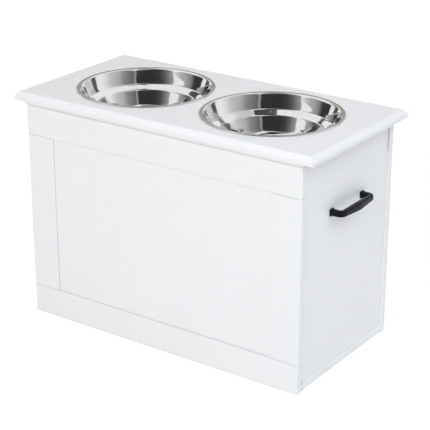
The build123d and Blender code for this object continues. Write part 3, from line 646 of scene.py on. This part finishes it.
# %% Floor
FLOOR_HALF, FLOOR_DROP = 6.0, 0.3 * MM
FLOOR_GLOW, FLOOR_SHADED, FLOOR_WHITE = 0.83, 0.25, 0.90
edge = np.linspace(-FLOOR_HALF, FLOOR_HALF, 3)
floor_grid = np.stack(np.broadcast_arrays(edge[None, :], edge[:, None], np.array(-FLOOR_DROP)), axis=-1)
floor = grid_mesh("floor", floor_grid, close_around=False)
matt = bpy.data.materials.new("white_floor")
matt.use_nodes = True
tree = matt.node_tree
tree.nodes.clear()
lit = add_node(tree, "ShaderNodeBsdfDiffuse", Color=(FLOOR_WHITE,) * 3 + (1,))
faint = add_node(tree, "ShaderNodeBsdfDiffuse", Color=(FLOOR_SHADED,) * 3 + (1,))
glow = add_node(tree, "ShaderNodeEmission", Color=(1, 1, 1, 1), Strength=FLOOR_GLOW)
both = tree.nodes.new("ShaderNodeAddShader")
tree.links.new(faint.outputs[0], both.inputs[0])
tree.links.new(glow.outputs[0], both.inputs[1])
mixed = tree.nodes.new("ShaderNodeMixShader")
tree.links.new(seen_directly(tree), mixed.inputs[0])
tree.links.new(lit.outputs[0], mixed.inputs[1])
tree.links.new(both.outputs[0], mixed.inputs[2])
tree.links.new(mixed.outputs[0], add_node(tree, "ShaderNodeOutputMaterial").inputs[0])
floor.data.materials.append(matt)
print("floor side:", 2 * FLOOR_HALF)

# %% [markdown]
# ## Lamps
#
# Four large soft lamps add direction to the light of the room. The main one stands in front, so
# the front is the brightest face, a slightly blue one stands high on the right, a weak one lifts
# the back and the left side, and a faint one hangs overhead. Their size keeps all shadows soft.
# The steel doesn't see the lamps themselves, which would show in it as bright squares.

# %% Soft lamps
LAMP_AIM = Vector((0, 0, 0.22))


def soft_lamp(name, place, side, power, tint=(1, 1, 1)):
    """A square area lamp that points at the middle of the object."""
    light = bpy.data.lights.new(name, "AREA")
    light.shape = "SQUARE"
    light.size = side
    light.energy = power
    light.color = tint
    lamp = bpy.data.objects.new(name, light)
    bpy.context.scene.collection.objects.link(lamp)
    lamp.location = place
    lamp.rotation_euler = (LAMP_AIM - Vector(place)).to_track_quat("-Z", "Y").to_euler()
    lamp.visible_glossy = False


soft_lamp("main_lamp", (0.9, -2.85, 2.2), 1.8, 56.0, (1.0, 0.99, 0.985))
soft_lamp("top_lamp", (0.2, 0.2, 2.9), 2.0, 5.0)
soft_lamp("right_lamp", (2.4, 0.1, 2.7), 1.8, 30.0, (0.84, 0.91, 1.0))
soft_lamp("back_lamp", (-1.8, 2.8, 1.0), 1.8, 20.0)

# %% [markdown]
# ## Dark cards for the steel
#
# Polished metal shows nothing but its surroundings, and in a plain white room it looks flat. A
# photographer puts up dark cards outside the picture, so that the metal gets its crisp dark and
# light bands. Here they are parts of a dome with a gradient on them, seen only in reflections:
# they throw no shadow, take no light away and aren't part of the object.
#
# The function below makes one such card. Its gradient is a Color Ramp, read along the card's own
# UV map, so each card can fade from one tone to the next.

# %% One dark card
CARD_RADIUS = 4.0
CARD_ACROSS, CARD_UP = 61, 31
VIEWER_SIDE = math.radians(-54.6)


def dark_card(name, right_deg, left_deg, low_deg, high_deg, stops):
    """Part of a sphere round the object, between two bearings and two elevations.

    A point is R (cos e cos b, cos e sin b, sin e). Bearings count in degrees from the viewer's
    side, positive to the viewer's left. Either elevation may be a pair, for the right and the left
    end, and then runs evenly between them. The tone follows the bearing, kept as a UV coordinate.
    """
    share = np.linspace(0, 1, CARD_ACROSS)[None, :]
    bearing = VIEWER_SIDE - np.radians(right_deg + share * (left_deg - right_deg))
    low, high = (np.radians(np.interp(share, (0, 1), np.ones(2) * edge)) for edge in (low_deg, high_deg))
    rise = low + np.linspace(0, 1, CARD_UP)[:, None] * (high - low)
    ball = CARD_RADIUS * np.stack(
        [np.cos(rise) * np.cos(bearing), np.cos(rise) * np.sin(bearing), np.sin(rise)], axis=-1
    )
    card = grid_mesh(name, ball, close_around=False)
    corner = np.zeros(len(card.data.loops), np.int32)
    card.data.loops.foreach_get("vertex_index", corner)
    along = np.broadcast_to(share, (CARD_UP, CARD_ACROSS)).ravel()[corner]
    layer = card.data.uv_layers.new(name="bearing")
    layer.data.foreach_set("uv", np.stack([along, along * 0], axis=1).ravel())
    material = bpy.data.materials.new(name)
    material.use_nodes = True
    tree = material.node_tree
    tree.nodes.clear()
    uv = tree.nodes.new("ShaderNodeUVMap")
    uv.uv_map = "bearing"
    split = tree.nodes.new("ShaderNodeSeparateXYZ")
    tree.links.new(uv.outputs[0], split.inputs[0])
    ramp = tree.nodes.new("ShaderNodeValToRGB")
    for number, (degrees, tone) in enumerate(stops):
        at = (degrees - right_deg) / (left_deg - right_deg)
        stop = ramp.color_ramp.elements[number] if number < 2 else ramp.color_ramp.elements.new(at)
        stop.position, stop.color = at, (*(np.ones(3) * tone), 1)
    tree.links.new(split.outputs[0], ramp.inputs[0])
    glow = add_node(tree, "ShaderNodeEmission")
    tree.links.new(ramp.outputs[0], glow.inputs[0])
    tree.links.new(glow.outputs[0], add_node(tree, "ShaderNodeOutputMaterial").inputs[0])
    card.data.materials.append(material)
    card.visible_camera = card.visible_diffuse = card.visible_shadow = False
    card.visible_transmission = card.visible_volume_scatter = False


print("helper ready: dark_card")

# %% [markdown]
# The list below gives each card its two bearings, its two elevations and the stops of its
# gradient, each a bearing with a tone. The steep walls of a bowl mirror what stands round the
# room and its ledge mirrors what is overhead, so low and high cards shape different bands. About
# 60 degrees up, ahead and to the right, an opening is left between them: what the steel mirrors
# twice comes from there, and those patches stay bright.

# %% Put up the cards
AHEAD = [(-22, 0.038), (16, 0.038), (28, 0.055), (34, 0.08), (40, 0.125), (46, 0.2), (52, 0.31), (58, 0.38)]
FADE = [(-100, 1.0), (-92, 0.9), (-80, 0.66), (-62, 0.53), (-50, 0.31), (-30, 0.165), (-27, 0.165)]
OLIVE = (0.40, 0.40, 0.355)
CARDS = {
    "card_ahead": (-22, 58, -5, (53, 62), AHEAD),
    "card_ahead_top": (-22, 58, 62, 89.8, AHEAD),
    "card_ahead_right": (-100, -22, -5, (72, 50), FADE + [(-26, 0.38), (-22.6, 0.36), (-22, 0.1)]),
    "card_high_right": (-125, -100, 50, 72, [(-125, 1.0), (-116, 0.72), (-100, 0.58)]),
    "card_over": (-114, -22, 73, 89.8, [(-114, 0.07), (-22, 0.06)]),
    "card_over_left": (58, 246, 87.5, 89.8, [(58, 0.1), (246, 0.06)]),
    "card_left_top": (60, 82, (41, 25), 43, [(60, 0.85), (70, 0.6), (82, 0.42)]),
    "card_left": (
        82, 124, -5, (43, 25), [(82, 0.5), (88, 0.38), (95, 0.3), (101, 0.12), (106, 0.04), (124, 0.04)]
    ),
    "card_far_left": (135, 147, -5, 44, [(135, 0.09), (147, 0.07)]),
    "card_right": (-150, -127, -5, 22, [(-150, 0.7), (-127, 0.7)]),
    "card_right_band": (-126, -113.5, -5, 34, [(-126, 0.5), (-124.5, 0.12), (-114.5, 0.11), (-113.5, 0.5)]),
    "card_far_right": (-142, -134, 24, 40, [(-142, 0.24), (-134, 0.26)]),
    "card_behind": (158, 202, 4, 80, [(158, OLIVE), (202, OLIVE)]),
}
for name, card in CARDS.items():
    dark_card(name, *card)
print("dark cards:", len(CARDS))

# %% [markdown]
# ## The camera
#
# The view is from the front right, a little above, with a long lens from about two and a half
# metres, as a catalogue picture is taken, so the upright edges stay nearly parallel. The lens in
# millimetres is the focal length in pixels over the side of the picture, times the sensor width.

# %% Camera
CAMERA_PLACE = (1.3274, -1.8637, 1.1173)
CAMERA_BEARING, CAMERA_TILT = math.radians(35.14), math.radians(21.81)
IMAGE_SIDE, FOCAL_PIXELS = 430, 1419.8
SENSOR_WIDTH = 36.0
view = bpy.data.cameras.new("camera")
view.sensor_width = SENSOR_WIDTH
view.lens = FOCAL_PIXELS / IMAGE_SIDE * SENSOR_WIDTH
camera = bpy.data.objects.new("camera", view)
bpy.context.scene.collection.objects.link(camera)
camera.location = CAMERA_PLACE
looking = Vector(
    (
        -math.sin(CAMERA_BEARING) * math.cos(CAMERA_TILT),
        math.cos(CAMERA_BEARING) * math.cos(CAMERA_TILT),
        -math.sin(CAMERA_TILT),
    )
)
camera.rotation_euler = looking.to_track_quat("-Z", "Y").to_euler()
bpy.context.scene.camera = camera
print("lens in mm:", round(view.lens, 1))
